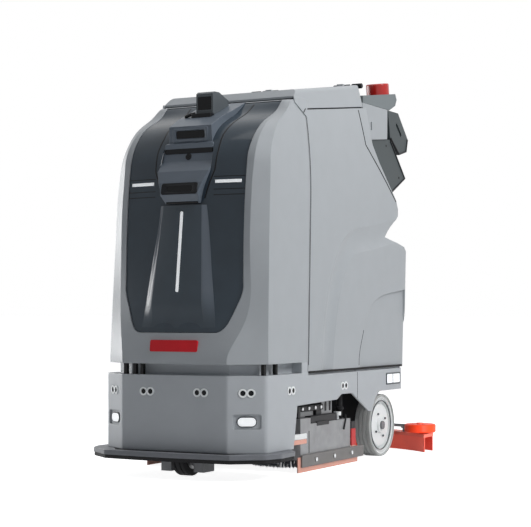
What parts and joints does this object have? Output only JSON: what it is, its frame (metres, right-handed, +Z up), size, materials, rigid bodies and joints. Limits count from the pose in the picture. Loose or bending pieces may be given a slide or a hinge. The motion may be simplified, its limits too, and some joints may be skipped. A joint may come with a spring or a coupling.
{
  "type": "autonomous floor scrubber",
  "caption": "Driverless walk-behind-sized floor scrubber with sensor mast front, scrub deck between its wheels, rear squeegee, recovery tank and a rear touch console.",
  "frame": {"origin": "on the floor under the middle of the machine's bounding box", "axes": "+Z up, -Y forward in the driving direction, +X towards the machine's left side"},
  "size_m": [0.78, 1.47, 1.4118],
  "materials": {
    "body_grey": "satin",
    "graphite": "matte",
    "bumper_grey": "satin",
    "blade_salmon": "satin",
    "fascia_tint": "gloss",
    "light_white": "gloss",
    "plate_red": "gloss",
    "window_black": "gloss",
    "frame_black": "satin",
    "steel": "brushed",
    "deck_steel": "satin",
    "motor_alloy": "cast",
    "tyre_grey": "matte",
    "hub_white": "satin",
    "rubber_black": "matte",
    "blade_red": "satin",
    "squeegee_red": "satin",
    "bristle": "matte",
    "tank_white": "matte",
    "battery_black": "matte",
    "beacon_red": "gloss",
    "screen_glass": "gloss"
  },
  "bodies": {
    "chassis": {"base_shell": "body_grey", "sensor_rings": "hub_white", "sensor_cores": "window_black", "lamp_lenses": "light_white", "slot_posts": "rubber_black", "chassis_frame": "frame_black", "steer_unit": "motor_alloy", "rear_axle": "steel", "lift_actuator": "frame_black", "front_shell": "body_grey", "fascia_panel": "fascia_tint", "fascia_insert": "fascia_tint", "light_strips": "light_white", "nameplate": "plate_red", "sensor_pod": "graphite", "camera_windows": "window_black", "top_sensor": "graphite", "recovery_tank": "body_grey", "lid_hinges": "graphite", "battery_pack": "battery_black", "solution_tank": "tank_white", "control_unit": "motor_alloy", "vacuum_motor": "motor_alloy", "console_frame": "body_grey", "console_hood": "body_grey", "lower_console_box": "graphite", "display_housing": "graphite", "touch_screen": "screen_glass", "beacon_lens": "beacon_red"},
    "bumper": {"contact_bumper": "bumper_grey", "bumper_edge": "rubber_black"},
    "fork": {"drive_fork": "motor_alloy"},
    "drive_wheel": {"drive_tyre": "tyre_grey", "drive_hub": "steel"},
    "left_wheel": {"left_tyre": "tyre_grey", "left_hub": "hub_white"},
    "right_wheel": {"right_tyre": "tyre_grey", "right_hub": "hub_white"},
    "deck": {"brush_deck": "deck_steel", "brush_motors": "frame_black", "side_blades": "blade_salmon", "side_skirts": "graphite", "skirt_bolts": "steel", "deck_knobs": "hub_white", "lift_rod": "steel"},
    "left_brush": {"left_brush_disc": "graphite", "left_bristles": "bristle"},
    "right_brush": {"right_brush_disc": "graphite", "right_bristles": "bristle"},
    "arm": {"squeegee_arm": "frame_black"},
    "squeegee": {"squeegee_body": "squeegee_red", "front_blade": "blade_red", "rear_blade": "blade_red"},
    "roller_left": {"left_roller": "blade_red"},
    "roller_right": {"right_roller": "blade_red"},
    "lid": {"tank_lid": "body_grey", "lid_gasket": "rubber_black"},
    "estop": {"estop_button": "beacon_red"},
    "power": {"power_button": "light_white"}
  },
  "joints": [
    {"name": "bumper_press", "type": "slide", "parent": "chassis", "child": "bumper", "axis": [0, 1, 0], "range_m": [0, 0.008], "stiffness_N_per_m": 4000, "springref_m": -0.002},
    {"name": "steer", "type": "hinge", "parent": "chassis", "child": "fork", "pos_m": [0, -0.585, 0.2], "axis": [0, 0, 1], "range_deg": [-90, 90]},
    {"name": "drive_roll", "type": "hinge", "parent": "fork", "child": "drive_wheel", "pos_m": [0, -0.585, 0.07], "axis": [1, 0, 0], "continuous": true},
    {"name": "left_roll", "type": "hinge", "parent": "chassis", "child": "left_wheel", "pos_m": [0.25, 0.325, 0.1135], "axis": [1, 0, 0], "continuous": true},
    {"name": "right_roll", "type": "hinge", "parent": "chassis", "child": "right_wheel", "pos_m": [-0.25, 0.325, 0.1135], "axis": [1, 0, 0], "continuous": true},
    {"name": "deck_lift", "type": "slide", "parent": "chassis", "child": "deck", "axis": [0, 0, 1], "range_m": [0, 0.045]},
    {"name": "left_brush_spin", "type": "hinge", "parent": "deck", "child": "left_brush", "pos_m": [0.14, -0.13, 0.07], "axis": [0, 0, 1], "continuous": true},
    {"name": "right_brush_spin", "type": "hinge", "parent": "deck", "child": "right_brush", "pos_m": [-0.14, -0.13, 0.07], "axis": [0, 0, 1], "continuous": true},
    {"name": "squeegee_lift", "type": "hinge", "parent": "chassis", "child": "arm", "pos_m": [0, 0.44, 0.24], "axis": [1, 0, 0], "range_deg": [0, 8]},
    {"name": "squeegee_swing", "type": "hinge", "parent": "arm", "child": "squeegee", "pos_m": [0, 0.625, 0.08], "axis": [0, 0, 1], "range_deg": [-8, 8]},
    {"name": "left_roller_spin", "type": "hinge", "parent": "squeegee", "child": "roller_left", "pos_m": [0.331, 0.57697, 0.087], "axis": [0, 0, 1], "continuous": true},
    {"name": "right_roller_spin", "type": "hinge", "parent": "squeegee", "child": "roller_right", "pos_m": [-0.331, 0.57697, 0.087], "axis": [0, 0, 1], "continuous": true},
    {"name": "lid_open", "type": "hinge", "parent": "chassis", "child": "lid", "pos_m": [0, 0.27, 1.362], "axis": [-1, 0, 0], "range_deg": [0, 75]},
    {"name": "estop_press", "type": "slide", "parent": "chassis", "child": "estop", "axis": [0, -0.6958, -0.7182], "range_m": [0, 0.004], "stiffness_N_per_m": 1500},
    {"name": "power_press", "type": "slide", "parent": "chassis", "child": "power", "axis": [0, -0.6958, -0.7182], "range_m": [0, 0.002], "stiffness_N_per_m": 800}
  ]
}
